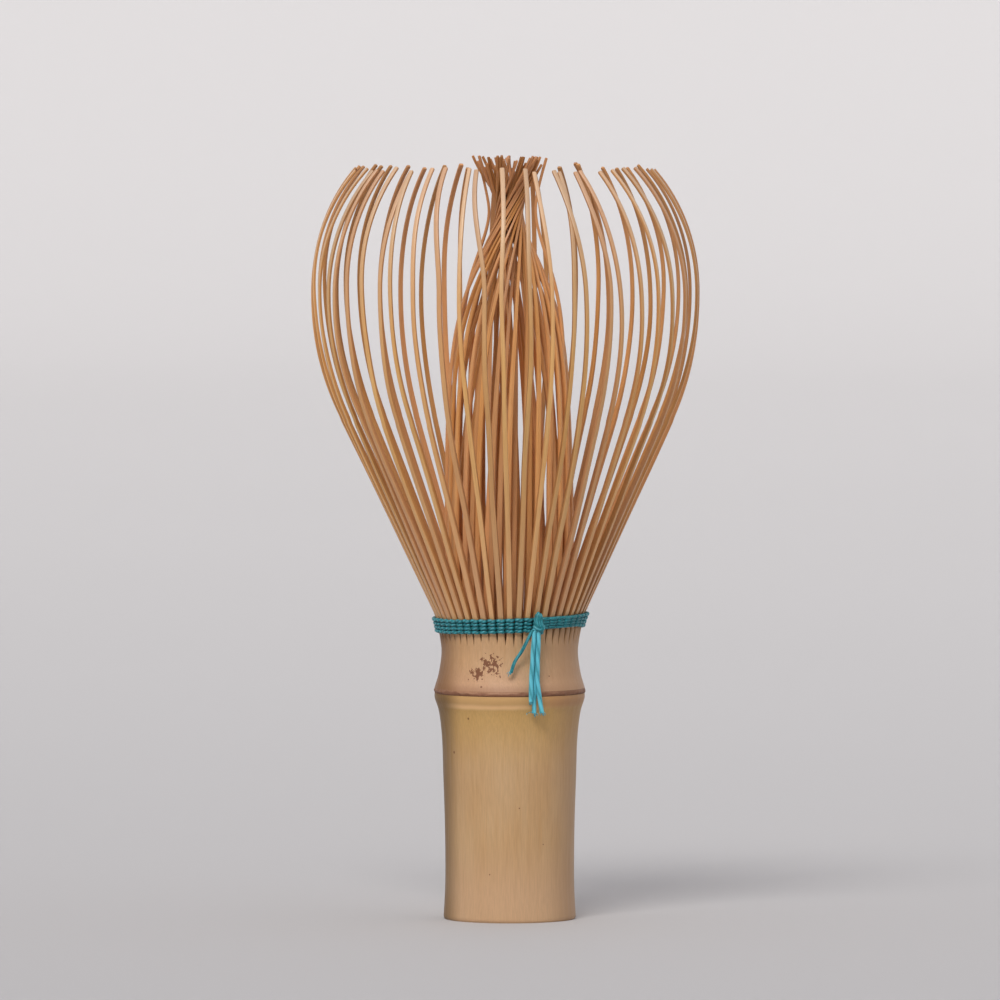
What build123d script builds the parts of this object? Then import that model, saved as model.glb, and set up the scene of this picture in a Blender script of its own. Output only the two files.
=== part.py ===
"""Bamboo tea whisk, standing on the cut end of its handle.

The handle is one internode of bamboo culm, with the node just above it.  Above the node the culm wall
is split twice: its skin side becomes a flared crown of outer tines, and its inner side a basket of
inner tines that lean together, twist past one another and fan out again at the top.  Dyed thread is
wound round the roots of the outer tines and knotted at the front, where its ends hang down.

Millimetres.  +Z is up along the culm, the origin is the centre of the cut end, and -Y is the front.
"""

import os
from functools import partial
from math import asin, atan, cos, degrees, exp, log, radians, sin, sqrt, tan

from build123d import *

# Driving dimensions
TOTAL_HEIGHT = 118.3
TINES = 52
TINES_PER_GROUP = 4
GROUPS = TINES // TINES_PER_GROUP
PITCH = 360 / TINES

# Handle culm: outside radius at each height, up to the node
CULM_OUTLINE = [(0, 10.25), (6, 10.0), (14, 10.05), (22, 10.3), (28, 10.5), (32, 10.95), (34.2, 11.6)]
CULM_TOP = 35.1
CULM_TOP_RADIUS = 11.65
BORE_RADIUS = 7.4
BASE_CHAMFER = (0.2, 0.35)
SEPTUM_THICKNESS = 1.2
SEPTUM_RADIUS = 7.9

# Node ridge, a rounded hoop let into the joint line between culm and collar
RING_SEAT_RADIUS = 10.9
RING_RADIUS = 11.85
RING_HEIGHT = 0.8

# Collar, the uncut wall above the node, with the roots of both rows of tines standing on it
COLLAR_OUTLINE = [(36.4, 11.5), (38.2, 11.0), (41, 10.6), (43.2, 10.7)]
COLLAR_START_RADIUS = 11.65
CROWN_FLOOR = 43.8
OUTER_ROOT_TOP = 45.4
OUTER_ROOT_INSIDE = 10.0
INNER_ROOT_TOP = 44.85
INNER_ROOT_OUTSIDE = 8.9
INNER_ROOT_INSIDE = 8.15
SLIT_START = 42.7
SLIT_OVERRUN = 0.1
OUTER_SLIT_WIDTH = 0.3
INNER_SLIT_WIDTH = 0.32

# Outer tines: outside face
OUTER_FOOT = 45.6
FLARE_RADIUS = 10.9
FLARE_START = 45.7
FLARE_ANGLE = 25.2
FLARE_SOFTNESS = 0.8
BELLY_RADIUS = 30.4
BELLY_HEIGHT = 97.7
LOWER_CURL = 46.3
UPPER_CURL = 28.0
OUTER_TIP = 117.0
OUTER_STATIONS = [46.4, 47.5, 49, 52, 57, 63, 69.5, 76, 82.5, 89, 95.5, 102, 108, 113]
OUTER_SLIM_HEIGHT = 92.0
OUTER_WIDTH = (1.02, 0.72)
OUTER_THICKNESS = (1.05, 0.45)

# Inner tines: layers of the twisted waist, from the outside in
INNER_FOOT = 45.45
BASKET_RADIUS = 10.0
ROOT_RADIUS = 8.55
ROOT_SPREAD = 6.0
WAIST_HEIGHT = 110.0
WAIST_SLOPE = 0.55
WAIST_RADII = {"A": 1.95, "B": 1.42, "C": 0.87}
LAYER_PATTERN = "ABAC"
SHOULDER_POWER = 3
INNER_STATIONS = [47, 50, 55, 62, 70, 78, 85, 90, 94, 97, 100, 102, 104, 105.5, 107, 108.5]
INNER_STATIONS += [110, 111.5, 113, 114.5, 116]
INNER_WIDTH = (0.72, 0.35)
INNER_THICKNESS = (0.68, 0.40)

# Thread
THREAD_RADIUS = 0.26
WRAPS = [(45.2, 11.44), (45.78, 11.54), (46.36, 11.76), (46.94, 12.02)]
INNER_COURSE = (45.9, 9.55)
KNOT_CENTRE = (4.45, -12.35, 46.5)
KNOT_SIZE = (2.3, 1.6, 3.3)
TAIL_RADIUS = 0.3
TAIL_TOP = 44.45
MAIN_TAILS = {
    "thread_tail_left": [(3.75, -12.45), (3.45, -12.25, 40), (3.3, -12.2, 37), (3.3, -12.25, 34.4)],
    "thread_tail_back": [(3.95, -11.8), (3.95, -11.55, 40), (3.8, -11.6, 36), (3.75, -11.65, 32.6)],
    "thread_tail_right": [(4.45, -12.4), (4.3, -12.1, 40), (4.35, -12.0, 37), (4.95, -12.0, 32.7)],
}
SIDE_TAIL = {"thread_tail_side": [(3.0, -12.35), (1.9, -12.0, 42.3), (0.8, -11.9, 40.6), (0.2, -11.9, 38.9)]}


def share(value, start, end):
    """How far value lies from start to end, from 0 to 1."""
    return min(1.0, max(0.0, (value - start) / (end - start)))


def mix(pair, t):
    return pair[0] + (pair[1] - pair[0]) * t


def outer_face_radius(z):
    """Radius of an outer tine's outside face: near upright in the thread, then a straight flare, then two
    arcs that meet at the belly and curl the tip inward."""
    slope = tan(radians(FLARE_ANGLE))
    curl_start = BELLY_HEIGHT - LOWER_CURL * sin(radians(FLARE_ANGLE))
    if z < curl_start:
        return FLARE_RADIUS + slope * FLARE_SOFTNESS * log(1 + exp((z - FLARE_START) / FLARE_SOFTNESS))
    curl = LOWER_CURL if z < BELLY_HEIGHT else UPPER_CURL
    return BELLY_RADIUS - curl * (1 - cos(asin((z - BELLY_HEIGHT) / curl)))


def inner_face_radius(z, layer):
    """Radius of an inner tine's middle: a basket wall that turns into its layer's twisted waist."""
    basket = BASKET_RADIUS - (BASKET_RADIUS - ROOT_RADIUS) * exp((INNER_FOOT - z) / ROOT_SPREAD)
    widest = WAIST_RADII["A"]
    waist = sqrt(widest**2 + (WAIST_SLOPE * (z - WAIST_HEIGHT)) ** 2) * WAIST_RADII[layer] / widest
    return (basket**-SHOULDER_POWER + waist**-SHOULDER_POWER) ** (-1 / SHOULDER_POWER)


def twist(z):
    """Turn of the inner tines about the axis, in degrees: straight lines that pass the axis askew."""
    return degrees(atan((z - WAIST_HEIGHT) * WAIST_SLOPE / WAIST_RADII["A"]))


def outer_point(z):
    return Vector(outer_face_radius(z), 0, z)


def inner_point(z, layer):
    angle = radians(twist(z) - twist(INNER_FOOT))
    radius = inner_face_radius(z, layer)
    return Vector(radius * cos(angle), radius * sin(angle), z)


def strip(path, heights, slim_height, width, thickness, outward_share):
    """A rectangular strip along path, cut square at both ends, that tapers up to slim_height.

    outward_share is how much of the thickness lies outside the path.
    """
    step = 0.01
    sections = []
    for z in heights:
        t = share(z, heights[0], slim_height)
        along = (path(z + step) - path(z - step)).normalized()
        centre = path(z)
        radial = Vector(centre.X, centre.Y, 0).normalized()
        side = along.cross(radial).normalized() * mix(width, t) / 2
        outward = side.cross(along).normalized()
        if outward.dot(radial) < 0:
            outward = -outward
        deep = mix(thickness, t)
        front = centre + outward * deep * outward_share
        back = centre - outward * deep * (1 - outward_share)
        sections.append(Wire.make_polygon([front - side, front + side, back + side, back - side]))
    return Solid.make_loft(sections)


def outer_group(index):
    """Four neighbouring outer tines, each a solid of its own."""
    heights = [OUTER_FOOT] + OUTER_STATIONS + [OUTER_TIP]
    tine = strip(outer_point, heights, OUTER_SLIM_HEIGHT, OUTER_WIDTH, OUTER_THICKNESS, 0)
    first = index * TINES_PER_GROUP
    return Compound(children=[Rot(0, 0, (first + i) * PITCH) * tine for i in range(TINES_PER_GROUP)])


def inner_group(index):
    """Four neighbouring inner tines, one for each letter of the layer pattern."""
    heights = [INNER_FOOT] + INNER_STATIONS + [TOTAL_HEIGHT]
    tines = []
    for i, layer in enumerate(LAYER_PATTERN):
        path = partial(inner_point, layer=layer)
        tine = strip(path, heights, WAIST_HEIGHT, INNER_WIDTH, INNER_THICKNESS, 0.5)
        tines.append(Rot(0, 0, (index * TINES_PER_GROUP + i + 0.5) * PITCH) * tine)
    return Compound(children=tines)


def turned(outline):
    """A solid turned about the axis from a closed chain of edges in the XZ plane."""
    return revolve(Plane.XZ * make_face(outline), Axis.Z)


def culm():
    """The hollow internode, flared a little at the cut end and swollen under the node."""
    points = [(radius, z) for z, radius in CULM_OUTLINE]
    start = (points[0][0] - BASE_CHAMFER[0], 0)
    points[0] = (points[0][0], BASE_CHAMFER[1])
    outside = Spline(points + [(CULM_TOP_RADIUS, CULM_TOP)])
    septum_floor = CULM_TOP - SEPTUM_THICKNESS
    rest = Polyline(
        (CULM_TOP_RADIUS, CULM_TOP),
        (SEPTUM_RADIUS, CULM_TOP),
        (SEPTUM_RADIUS, septum_floor),
        (BORE_RADIUS, septum_floor),
        (BORE_RADIUS, 0),
        start,
        points[0],
    )
    return turned([outside, rest])


def septum():
    """The node's own wall across the bore."""
    disc = Cylinder(SEPTUM_RADIUS, SEPTUM_THICKNESS, align=(Align.CENTER, Align.CENTER, Align.MAX))
    return Pos(0, 0, CULM_TOP) * disc


def node_ring():
    """The scar of the sheath leaf, a low rounded ridge."""
    low = (RING_SEAT_RADIUS, CULM_TOP)
    high = (RING_SEAT_RADIUS, CULM_TOP + RING_HEIGHT)
    face_low = (RING_RADIUS - RING_HEIGHT / 2, CULM_TOP)
    face_high = (RING_RADIUS - RING_HEIGHT / 2, CULM_TOP + RING_HEIGHT)
    nose = ThreePointArc(face_low, (RING_RADIUS, CULM_TOP + RING_HEIGHT / 2), face_high)
    return turned([Line(low, face_low), nose, Line(face_high, high), Line(high, low)])


def slit(width, inside, outside, top, start_angle):
    """All the slits of one row: thin wedges, sharp at the bottom, between neighbouring roots."""
    over = top + SLIT_OVERRUN
    half = width / 2 * (over - SLIT_START) / (top - SLIT_START)
    wedge = make_face(Polyline((0, SLIT_START), (half, over), (-half, over), (0, SLIT_START)))
    cutter = Pos(inside, 0, 0) * extrude(Plane.YZ * wedge, outside - inside)
    return [Rot(0, 0, start_angle + i * PITCH) * cutter for i in range(TINES)]


def collar():
    """The solid crown above the node, with 52 outer and 52 inner roots cut in its upper edge."""
    ring_top = CULM_TOP + RING_HEIGHT
    lip = outer_face_radius(OUTER_ROOT_TOP)
    points = [(radius, z) for z, radius in COLLAR_OUTLINE]
    outside = Spline([(COLLAR_START_RADIUS, ring_top)] + points + [(lip, OUTER_ROOT_TOP)])
    rest = Polyline(
        (lip, OUTER_ROOT_TOP),
        (OUTER_ROOT_INSIDE, OUTER_ROOT_TOP),
        (OUTER_ROOT_INSIDE, CROWN_FLOOR),
        (INNER_ROOT_OUTSIDE, CROWN_FLOOR),
        (INNER_ROOT_OUTSIDE, INNER_ROOT_TOP),
        (INNER_ROOT_INSIDE, INNER_ROOT_TOP),
        (BORE_RADIUS, SLIT_START),
        (BORE_RADIUS, CULM_TOP),
        (RING_SEAT_RADIUS, CULM_TOP),
        (RING_SEAT_RADIUS, ring_top),
        (COLLAR_START_RADIUS, ring_top),
    )
    between = (OUTER_ROOT_INSIDE + INNER_ROOT_OUTSIDE) / 2
    cuts = slit(OUTER_SLIT_WIDTH, between, COLLAR_START_RADIUS, OUTER_ROOT_TOP, PITCH / 2)
    cuts += slit(INNER_SLIT_WIDTH, BORE_RADIUS - 1, between, INNER_ROOT_TOP, 0)
    return turned([outside, rest]) - cuts


def hoop(height, radius):
    return Pos(0, 0, height) * Torus(radius, THREAD_RADIUS)


def knot():
    """The knot at the front, a rounded bead that touches only the thread around it."""
    x, y, z = KNOT_CENTRE
    bead = Sphere(0.5)
    return Pos(x, y, z) * scale(bead, by=KNOT_SIZE)


def tail(points):
    """One loose thread end, from under the knot down past the node."""
    top = (*points[0], TAIL_TOP)
    path = Spline([top] + points[1:])
    return sweep(Plane(origin=path @ 0, z_dir=path % 0) * Circle(TAIL_RADIUS), path=path)


def write(name, shape):
    shape.label = name
    export_step(shape, f"parts/{name}.step")


os.makedirs("parts", exist_ok=True)
write("handle_culm", culm())
write("node_septum", septum())
write("node_ring", node_ring())
write("tine_collar", collar())
for number in range(GROUPS):
    write(f"outer_tines_{number + 1:02d}", outer_group(number))
    write(f"inner_tines_{number + 1:02d}", inner_group(number))
for number, (height, radius) in enumerate(WRAPS):
    write(f"thread_wrap_{number + 1}", hoop(height, radius))
write("thread_inner_course", hoop(*INNER_COURSE))
write("thread_knot", knot())
for name, points in {**MAIN_TAILS, **SIDE_TAIL}.items():
    write(name, tail(points))
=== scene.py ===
"""Looks of the bamboo tea whisk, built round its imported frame.

Every length below is in millimetres and every angle in degrees, as in part.py, unless a name or a
comment says otherwise.  Points are turned into metres once, when their mesh is made.
"""

import math
import random

import bmesh
import bpy
import numpy as np
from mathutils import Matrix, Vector, noise


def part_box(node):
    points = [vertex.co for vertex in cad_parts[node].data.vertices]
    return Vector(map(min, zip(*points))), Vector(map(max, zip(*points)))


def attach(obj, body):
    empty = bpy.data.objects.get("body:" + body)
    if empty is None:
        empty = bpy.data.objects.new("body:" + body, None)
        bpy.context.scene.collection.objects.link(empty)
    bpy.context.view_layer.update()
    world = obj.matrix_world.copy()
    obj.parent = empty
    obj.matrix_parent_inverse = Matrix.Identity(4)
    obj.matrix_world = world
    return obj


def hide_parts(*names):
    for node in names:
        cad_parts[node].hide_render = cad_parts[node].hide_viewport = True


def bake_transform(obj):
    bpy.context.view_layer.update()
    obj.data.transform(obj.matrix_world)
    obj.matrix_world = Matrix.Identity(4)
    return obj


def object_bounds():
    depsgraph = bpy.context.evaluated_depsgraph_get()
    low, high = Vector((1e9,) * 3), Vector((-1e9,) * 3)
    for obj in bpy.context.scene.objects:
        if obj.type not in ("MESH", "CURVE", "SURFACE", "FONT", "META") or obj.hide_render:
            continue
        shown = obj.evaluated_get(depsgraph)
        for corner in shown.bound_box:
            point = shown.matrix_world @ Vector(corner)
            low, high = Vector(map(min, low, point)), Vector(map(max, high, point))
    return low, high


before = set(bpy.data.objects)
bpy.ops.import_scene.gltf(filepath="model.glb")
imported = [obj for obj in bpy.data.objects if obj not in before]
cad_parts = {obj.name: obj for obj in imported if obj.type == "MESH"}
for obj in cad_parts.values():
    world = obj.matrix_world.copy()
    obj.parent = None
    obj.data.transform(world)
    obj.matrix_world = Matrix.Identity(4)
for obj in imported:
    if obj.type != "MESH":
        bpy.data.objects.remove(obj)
cad_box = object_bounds()

MM = 0.001
rng = random.Random(52)

# ---------------------------------------------------------------- sizes shared with the CAD model
TINES = 52
PER_GROUP = 4
GROUPS = TINES // PER_GROUP
PITCH = 360 / TINES

# Outlines hold (height, radius) from the bottom up.
CULM_OUTLINE = [
    (0.35, 10.25), (6, 10.0), (14, 10.05), (22, 10.3), (28, 10.5), (32, 10.95), (34.2, 11.6), (35.1, 11.65),
]
BASE_CHAMFER = 0.2
BORE_RADIUS = 7.4
SEPTUM_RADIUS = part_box("node_septum")[1].x / MM
SEPTUM_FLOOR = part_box("node_septum")[0].z / MM
RING_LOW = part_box("node_ring")[0].z / MM
RING_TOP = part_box("node_ring")[1].z / MM
RING_SEAT_RADIUS = 10.9
COLLAR_OUTLINE = [(35.9, 11.65), (36.4, 11.5), (38.2, 11.0), (41, 10.6), (43.2, 10.7), (45.4, 11.1)]
SLIT_FLOOR = 42.7
CROWN_FLOOR = 43.8
ROOT_TOP = 45.4
ROOT_INSIDE = 10.0
INNER_ROOT_INSIDE = 8.15

FLARE_RADIUS = 10.9
FLARE_START = 45.7
FLARE_ANGLE = 25.2
FLARE_SOFTNESS = 0.8
BELLY_RADIUS = 30.4
BELLY_HEIGHT = 97.7
LOWER_CURL = 46.3
UPPER_CURL = 28.0
HINGE_HEIGHT = 46.1
OUTER_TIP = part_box("outer_tines_01")[1].z / MM
OUTER_SLIM_HEIGHT = 92.0
# Widths and thicknesses are (at the root, at the tip).
OUTER_WIDTH = (0.90, 0.69)          # a little under the CAD's, whose section has square corners
OUTER_THICKNESS = (0.98, 0.42)

INNER_FOOT = 45.45
BASKET_RADIUS = 10.0
ROOT_RADIUS = 8.55
ROOT_SPREAD = 6.0
WAIST_HEIGHT = 110.0
WAIST_SLOPE = 0.55
WAIST_RADII = {"A": 1.95, "B": 1.42, "C": 0.87}
LAYER_PATTERN = "ABAC"
SHOULDER_POWER = 3
INNER_TIP = cad_box[1][2] / MM
INNER_WIDTH = (0.86, 0.36)          # broader than the CAD's, so that the basket looks as dense as it is
INNER_THICKNESS = (0.68, 0.40)

THREAD_RADIUS = 0.26
WRAP_HEIGHTS = (45.2, 45.78, 46.36, 46.94)
WRAP_MIDDLE = sum(WRAP_HEIGHTS) / len(WRAP_HEIGHTS)
INNER_COURSE_HEIGHT = 45.9
INNER_COURSE_RADIUS = 9.55
KNOT = (4.45, -12.35, 46.45)
TAIL_HINGE = (4.1, -12.2, 44.45)
SIDE_TAIL_HINGE = (3.0, -12.35, 44.45)
MAIN_TAILS = {
    "thread_tail_left": [(3.75, -12.45, 44.45), (3.45, -12.25, 40), (3.3, -12.2, 37), (3.3, -12.25, 34.4)],
    "thread_tail_back": [(3.95, -11.8, 44.45), (3.95, -11.55, 40), (3.8, -11.6, 36), (3.75, -11.65, 32.6)],
    "thread_tail_right": [(4.45, -12.4, 44.45), (4.3, -12.1, 40), (4.35, -12.0, 37), (4.95, -12.0, 32.7)],
}
SIDE_TAIL = [(3.0, -12.35, 44.45), (1.9, -12.0, 42.3), (0.8, -11.9, 40.6), (0.2, -11.9, 38.9)]

# ---------------------------------------------------------------- how the strips leave their even places
CROWN_LEAN = -0.55              # how far the crown stands off the axis at the belly, along X
LEAN_START = 46.5               # height from which strips lean
# How far the front tines lean out of their even spacing at the belly, left to right, from tine 27.
FIRST_LEANING = 27
LEANS = [
    0, 3, 2.5, 2, 0, 1, 1, -1.5, 0, 0.5, 0, 0, -1, 0, -0.5, -0.5, -3.5, -2.5, -5.5, -4.5, -5, -4, -3.5, 1.5,
]
# The same for the tips alone, by tine.
TIP_LEANS = {35: -2, 36: -4, 38: -4.5, 39: 1.3, 40: 1, 41: -1.3, 42: 1.3, 43: -2, 44: -2}
STRAYS = {49: 2.8, 20: 1.8}     # inner tines that miss the waist, and by how much
STRAY_TURN = 0.25               # share of the others' twist that they take

# Material numbers in a piece made of two.
SKIN, INSIDE = 0, 1


def outer_face_radius(z):
    """Radius of the outer tines' outside: a straight flare, then two arcs that meet at the belly."""
    slope = math.tan(math.radians(FLARE_ANGLE))
    curl_start = BELLY_HEIGHT - LOWER_CURL * math.sin(math.radians(FLARE_ANGLE))
    straight = FLARE_RADIUS + slope * FLARE_SOFTNESS * np.log1p(np.exp((z - FLARE_START) / FLARE_SOFTNESS))
    curl = np.where(z < BELLY_HEIGHT, LOWER_CURL, UPPER_CURL)
    lift = np.clip((z - BELLY_HEIGHT) / curl, -1, 1)
    return np.where(z < curl_start, straight, BELLY_RADIUS - curl * (1 - np.sqrt(1 - lift**2)))


def inner_middle_radius(z, layer):
    """Radius of the inner basket: nearly a tube, then drawn in to layer, its radius at the waist."""
    basket = BASKET_RADIUS - (BASKET_RADIUS - ROOT_RADIUS) * np.exp((INNER_FOOT - z) / ROOT_SPREAD)
    widest = WAIST_RADII["A"]
    waist = np.sqrt(widest**2 + (WAIST_SLOPE * (z - WAIST_HEIGHT)) ** 2) * layer / widest
    return (basket**-SHOULDER_POWER + waist**-SHOULDER_POWER) ** (-1 / SHOULDER_POWER)


def twist(z):
    """How far the inner basket has turned at height z, counted from the waist."""
    return np.degrees(np.arctan((z - WAIST_HEIGHT) * WAIST_SLOPE / WAIST_RADII["A"]))


# ---------------------------------------------------------------- mesh helpers
def smooth_step(t):
    t = np.clip(t, 0, 1)
    return t * t * (3 - 2 * t)


def fade_in(z, start, reach):
    """0 up to start, and 1 from start + reach on."""
    return smooth_step((z - start) / reach)


def taper(z, start, end, pair):
    return pair[0] + (pair[1] - pair[0]) * np.clip((z - start) / (end - start), 0, 1)


def wander(z, seed, scale):
    """A smooth random line through heights z, between about -1 and 1, that changes over scale."""
    return np.array([noise.noise(Vector((seed * 7.3, h / scale, 1.7))) * 1.6 for h in np.atleast_1d(z)])


def round_noise(angle, pace, seed):
    """Smooth noise round a circle, which closes on itself.  A higher pace changes faster."""
    turns = np.radians(np.atleast_1d(angle))
    return np.array([noise.noise(Vector((math.cos(a) * pace, math.sin(a) * pace, seed))) for a in turns])


def through(points, count):
    """count points on a smooth line through the given ones (Catmull-Rom)."""
    p = np.array(points, float)
    p = np.vstack([2 * p[0] - p[1], p, 2 * p[-1] - p[-2]])
    t = np.linspace(0, len(points) - 1 - 1e-9, count)
    i = t.astype(int)
    f = (t - i)[:, None]
    a, b, c, d = p[i], p[i + 1], p[i + 2], p[i + 3]
    return 0.5 * (2 * b + (c - a) * f + (2 * a - 5 * b + 4 * c - d) * f**2 + (3 * b - a - 3 * c + d) * f**3)


def around(radius, angle, z):
    """Points at cylindrical coordinates, stacked on a last axis of three."""
    a = np.radians(angle)
    radius, a, z = np.broadcast_arrays(radius, a, z)
    return np.stack([radius * np.cos(a), radius * np.sin(a), z], -1)


def turned(profile, angle):
    """Rows of points made by turning a profile of (radius, height) round the axis."""
    profile = np.array(profile)
    return around(profile[:, :1], angle[None], profile[:, 1:])


def unit(v):
    return v / np.linalg.norm(v, axis=-1, keepdims=True)


def sweep_rings(path, outward, profile, closed=False):
    """Rings of points square to path.  profile is (rings, points, 2): across, and outward."""
    if closed:
        ends = np.vstack([path[-2], path, path[1]])
        along = unit(ends[2:] - ends[:-2])
    else:
        along = unit(np.gradient(path, axis=0))
    side = unit(np.cross(along, outward))
    front = np.cross(side, along)
    return path[:, None] + side[:, None] * profile[..., :1] + front[:, None] * profile[..., 1:]


class Piece:
    """One mesh in the making: points, faces, each point's place in the grain, and each point's tone."""

    def __init__(self):
        self.points = []
        self.faces = []
        self.finishes = []
        self.grain = []
        self.tone = []
        self.count = 0

    def grid(self, points, grain=None, tone=0.5, closed=True, caps=False, finish=SKIN, tip_finish=None):
        """Adds rows of points.  finish is a material number, or one for each column.  caps closes both
        ends, the last one with tip_finish if that is given."""
        rows, columns = points.shape[:2]
        base = self.count
        flat = points.reshape(-1, 3)
        self.points.append(flat)
        self.grain.append(flat[:, [0, 2, 1]] if grain is None else grain.reshape(-1, 3))
        self.tone.append(np.full(len(flat), tone) if np.isscalar(tone) else tone.reshape(-1))
        self.count += len(flat)
        spans = columns if closed else columns - 1
        finish = [finish] * spans if np.isscalar(finish) else finish
        for i in range(rows - 1):
            low = base + i * columns
            for j in range(spans):
                k = (j + 1) % columns
                self.faces.append((low + j, low + k, low + columns + k, low + columns + j))
                self.finishes.append(finish[j])
        if caps:
            last = base + (rows - 1) * columns
            self.faces.append(tuple(range(base + columns - 1, base - 1, -1)))
            self.faces.append(tuple(range(last, last + columns)))
            self.finishes += [finish[-1], finish[-1] if tip_finish is None else tip_finish]

    def make(self, name, materials, merge=0, sharp=50):
        """The finished object.  Points closer than merge become one; edges over sharp degrees stay hard."""
        mesh = bpy.data.meshes.new(name)
        mesh.from_pydata((np.vstack(self.points) * MM).tolist(), [], self.faces)
        mesh.polygons.foreach_set("material_index", self.finishes)
        grain = mesh.attributes.new("grain", "FLOAT_VECTOR", "POINT")
        grain.data.foreach_set("vector", np.vstack(self.grain).ravel())
        tone = mesh.attributes.new("tone", "FLOAT", "POINT")
        tone.data.foreach_set("value", np.concatenate(self.tone))
        for material in materials:
            mesh.materials.append(material)
        work = bmesh.new()
        work.from_mesh(mesh)
        if merge:
            bmesh.ops.remove_doubles(work, verts=work.verts, dist=merge * MM)
            bmesh.ops.dissolve_degenerate(work, edges=work.edges, dist=merge * MM)
        bmesh.ops.recalc_face_normals(work, faces=work.faces)
        work.to_mesh(mesh)
        work.free()
        mesh.polygons.foreach_set("use_smooth", [True] * len(mesh.polygons))
        mesh.set_sharp_from_angle(angle=math.radians(sharp))
        mesh.update()
        piece = bpy.data.objects.new(name, mesh)
        bpy.context.scene.collection.objects.link(piece)
        return piece


def place(piece, node, body="handle"):
    """Puts a visual piece on its body, in place of its CAD node."""
    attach(piece, body)
    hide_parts(node)


# ---------------------------------------------------------------- materials
def srgb(red, green, blue):
    """A colour given as screen values from 0 to 255, as a shader wants it."""
    return tuple(((c / 255 + 0.055) / 1.055) ** 2.4 for c in (red, green, blue)) + (1,)


class Shading:
    """A material's node tree, with short calls for the nodes used here."""

    def __init__(self, name, **sockets):
        self.material = bpy.data.materials.new(name)
        self.material.use_nodes = True
        self.tree = self.material.node_tree
        self.shader = self.tree.nodes["Principled BSDF"]
        for socket, value in sockets.items():
            self.shader.inputs[socket.replace("_", " ")].default_value = value

    def node(self, kind, inputs=(), **settings):
        node = self.tree.nodes.new("ShaderNode" + kind)
        for key, value in settings.items():
            setattr(node, key, value)
        for key, value in dict(inputs).items():
            if isinstance(value, bpy.types.NodeSocket):
                self.tree.links.new(value, node.inputs[key])
            else:
                node.inputs[key].default_value = value
        return node

    def add(self, kind, inputs=(), output=0, **settings):
        return self.node(kind, inputs, **settings).outputs[output]

    def attribute(self, name):
        return self.add("Attribute", attribute_name=name, output="Vector" if name == "grain" else "Fac")

    def noise(self, vector, scale, detail=2.0, stretch=(1, 1, 1), roughness=0.5):
        """Noise, from 0 to 1, on a vector stretched first."""
        stretched = self.add("VectorMath", {0: vector, 1: stretch}, operation="MULTIPLY")
        settings = {"Vector": stretched, "Scale": scale, "Detail": detail, "Roughness": roughness}
        return self.add("TexNoise", settings)

    def fit(self, value, low, high, out_low=0.0, out_high=1.0):
        """A soft step from out_low, where value is low, to out_high, where it is high."""
        inputs = {0: value, 1: low, 2: high, 3: out_low, 4: out_high}
        return self.add("MapRange", inputs, interpolation_type="SMOOTHSTEP")

    def calc(self, operation, a, b):
        return self.add("Math", {0: a, 1: b}, operation=operation)

    def mix(self, share, a, b, blend="MIX"):
        return self.add("Mix", {0: share, 6: a, 7: b}, output=2, data_type="RGBA", blend_type=blend)

    def darken(self, colour, shade):
        grey = self.add("CombineXYZ", {0: shade, 1: shade, 2: shade})
        return self.mix(1.0, colour, grey, "MULTIPLY")

    def link(self, value, socket):
        self.tree.links.new(value, self.shader.inputs[socket])

    def bump(self, height, strength, distance):
        inputs = {"Height": height, "Strength": strength, "Distance": distance * MM}
        self.link(self.add("Bump", inputs), "Normal")


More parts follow.
